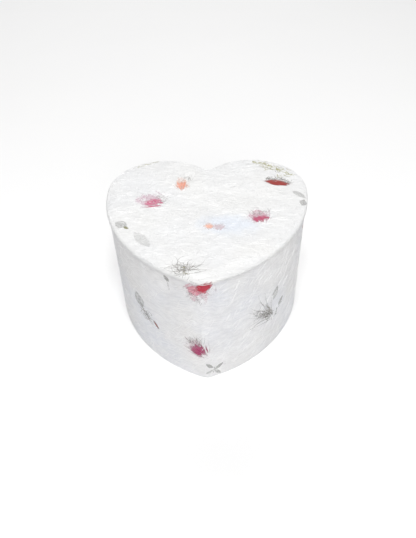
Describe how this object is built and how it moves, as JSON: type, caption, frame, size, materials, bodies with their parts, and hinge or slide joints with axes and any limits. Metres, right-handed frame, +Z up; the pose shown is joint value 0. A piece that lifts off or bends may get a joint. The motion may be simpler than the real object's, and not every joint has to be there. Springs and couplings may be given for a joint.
{
  "type": "music box",
  "caption": "Heart-shaped keepsake box covered in handmade paper with pressed petals; a hinged lid opens over a padded deck, a key underneath winds a comb movement.",
  "frame": {"origin": "centre of the underside of the bounding box, on the surface that the box stands on", "axes": "+Z up; +Y from the tip of the heart to the two lobes, where the hinges are; +X to the right seen from the tip"},
  "size_m": [0.15, 0.1478, 0.0996],
  "materials": {
    "floral_paper": "matte handmade paper with pressed petals and leaves",
    "greyboard": "matte",
    "lining_cloth": "soft short pile",
    "brass": "satin",
    "steel": "brushed",
    "spring_steel": "blued",
    "gilt_casting": "gilt lacquer on a zinc casting",
    "nylon": "moulded",
    "rubber": "matte"
  },
  "bodies": {
    "case": {"wall_board": "greyboard", "wall_paper": "floral_paper", "wall_lining": "lining_cloth", "base_board": "greyboard", "deck_ledge": "greyboard", "deck_board": "greyboard", "deck_pad": "lining_cloth", "bedplate": "gilt_casting", "spring_housing": "brass", "mainspring": "spring_steel", "key_bush": "rubber", "comb": "steel", "comb_screw_1": "steel", "comb_screw_2": "steel", "governor_frame": "steel", "movement_screw_1": "steel", "movement_screw_2": "steel", "movement_screw_3": "steel", "lever_pin": "steel", "lever_bracket": "steel", "bracket_screw_1": "steel", "bracket_screw_2": "steel", "rod_guide": "brass", "hinge_body_leaf_left": "brass", "hinge_pin_left": "steel", "hinge_body_nail_left_outer": "brass", "hinge_body_nail_left_inner": "brass", "hinge_body_leaf_right": "brass", "hinge_pin_right": "steel", "hinge_body_nail_right_outer": "brass", "hinge_body_nail_right_inner": "brass"},
    "lid": {"lid_board": "greyboard", "lid_paper": "floral_paper", "lid_lining": "lining_cloth", "hinge_lid_leaf_left": "brass", "hinge_lid_nail_left_outer": "brass", "hinge_lid_nail_left_inner": "brass", "hinge_lid_leaf_right": "brass", "hinge_lid_nail_right_outer": "brass", "hinge_lid_nail_right_inner": "brass"},
    "great_wheel": {"great_wheel": "brass", "clutch_spring": "spring_steel"},
    "winder": {"winding_arbor": "steel", "winding_key": "brass"},
    "cylinder": {"cylinder_shaft": "steel", "cylinder_pinion": "brass", "pinned_cylinder": "brass", "cylinder_wheel": "nylon"},
    "governor": {"governor_shaft": "steel", "governor_wheel": "nylon"},
    "fly": {"worm": "steel", "fly": "nylon"},
    "stop_lever": {"stop_lever": "steel"},
    "stop_rod": {"stop_rod": "steel"}
  },
  "joints": [
    {"name": "lid_hinge", "type": "hinge", "parent": "case", "child": "lid", "pos_m": [0, 0.0718, 0.0936], "axis": [-1, 0, 0], "range_deg": [0, 100]},
    {"name": "fly_spin", "type": "hinge", "parent": "case", "child": "fly", "pos_m": [0.0437, 0.0288, 0.038], "axis": [0, 0, -1], "continuous": true},
    {"name": "governor_spin", "type": "hinge", "parent": "case", "child": "governor", "pos_m": [0.0362, 0.0196, 0.038], "axis": [-1, 0, 0], "continuous": true},
    {"name": "cylinder_spin", "type": "hinge", "parent": "case", "child": "cylinder", "pos_m": [0.0217, 0.006, 0.038], "axis": [-1, 0, 0], "continuous": true},
    {"name": "great_wheel_spin", "type": "hinge", "parent": "case", "child": "great_wheel", "pos_m": [-0.004, 0.006, 0.0324], "axis": [0, 0, -1], "continuous": true},
    {"name": "key_wind", "type": "hinge", "parent": "great_wheel", "child": "winder", "pos_m": [-0.004, 0.006, 0.0076], "axis": [0, 0, 1], "range_deg": [0, 1530]},
    {"name": "stop_rod_lift", "type": "slide", "parent": "case", "child": "stop_rod", "axis": [0, 0, 1], "range_m": [0, 0.0033]},
    {"name": "stop_lever_turn", "type": "hinge", "parent": "case", "child": "stop_lever", "pos_m": [0.0437, 0.0461, 0.0453], "axis": [1, 0, 0], "range_deg": [0, 20]}
  ],
  "couplings": [
    {"joint": "governor_spin", "follows": "fly_spin", "ratio": -0.033333},
    {"joint": "cylinder_spin", "follows": "fly_spin", "ratio": 0.0075758},
    {"joint": "great_wheel_spin", "follows": "fly_spin", "ratio": 0.0037879},
    {"joint": "stop_rod_lift", "follows": "lid_hinge", "m_per_rad": 0.00189},
    {"joint": "stop_lever_turn", "follows": "lid_hinge", "ratio": 0.1995}
  ]
}
